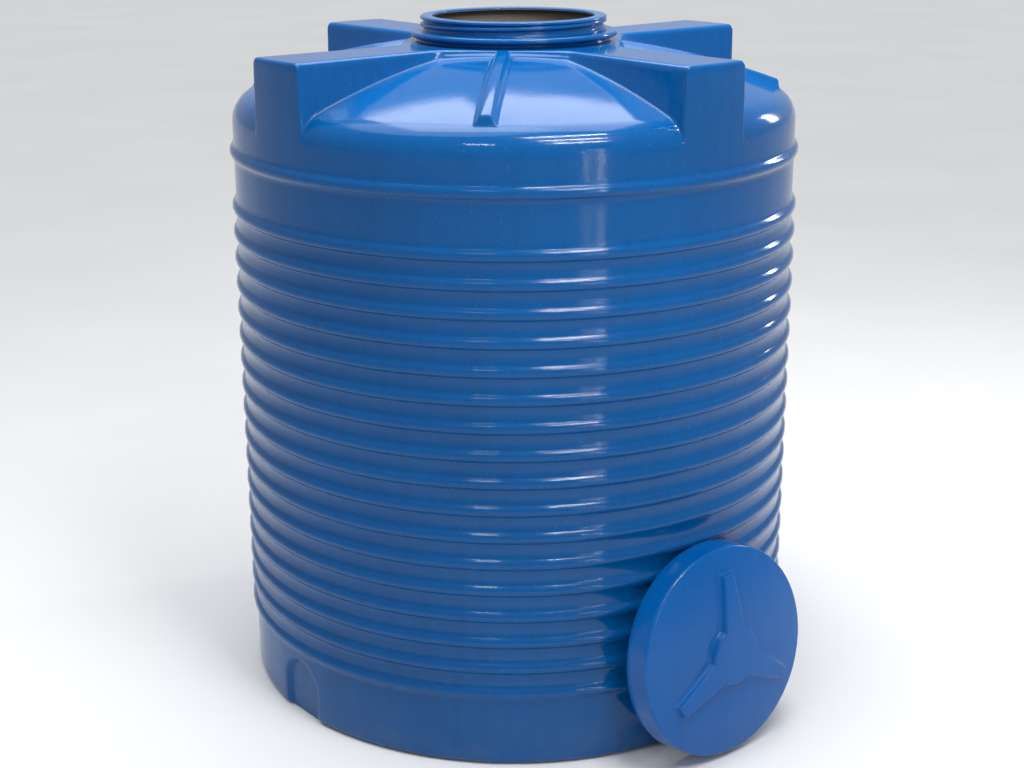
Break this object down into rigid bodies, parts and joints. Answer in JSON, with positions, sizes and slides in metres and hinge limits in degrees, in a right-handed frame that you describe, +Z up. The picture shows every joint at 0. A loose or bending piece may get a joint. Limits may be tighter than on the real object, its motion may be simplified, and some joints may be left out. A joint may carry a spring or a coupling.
{
  "type": "livestock water storage tank",
  "caption": "Upright ribbed round water tank with a domed lugged roof, a threaded neck, a double-skin screw lid leaning at its foot and a threaded outlet.",
  "frame": {"origin": "centre of the tank's underside, on the surface it stands on", "axes": "+Z up along the tank's axis, -Y towards the leaning lid, +X towards the outlet"},
  "size_m": [1.5557, 1.7, 1.836],
  "materials": {
    "tank_plastic": "glossy rotomoulded polyethylene",
    "lid_plastic": "glossy rotomoulded polyethylene",
    "seal_rubber": "matt",
    "fitting_plastic": "satin moulded polypropylene",
    "gasket_rubber": "matt"
  },
  "bodies": {
    "tank": {"tank_shell": "tank_plastic", "outlet_body": "fitting_plastic", "outlet_gasket": "gasket_rubber", "outlet_washer": "gasket_rubber", "outlet_nut": "fitting_plastic"},
    "seal_ring": {"lid_seal": "seal_rubber"},
    "screw_lid": {"lid": "lid_plastic"}
  },
  "joints": [
    {"name": "lid_pull", "type": "slide", "parent": "tank", "child": "seal_ring", "axis": [-0.0277, -0.9928, 0.1167], "range_m": [0, 0.6]},
    {"name": "lid_turn", "type": "hinge", "parent": "seal_ring", "child": "screw_lid", "pos_m": [-0.02251, -0.80575, 0.27839], "axis": [-0.0277, -0.9928, 0.1167], "continuous": true}
  ]
}
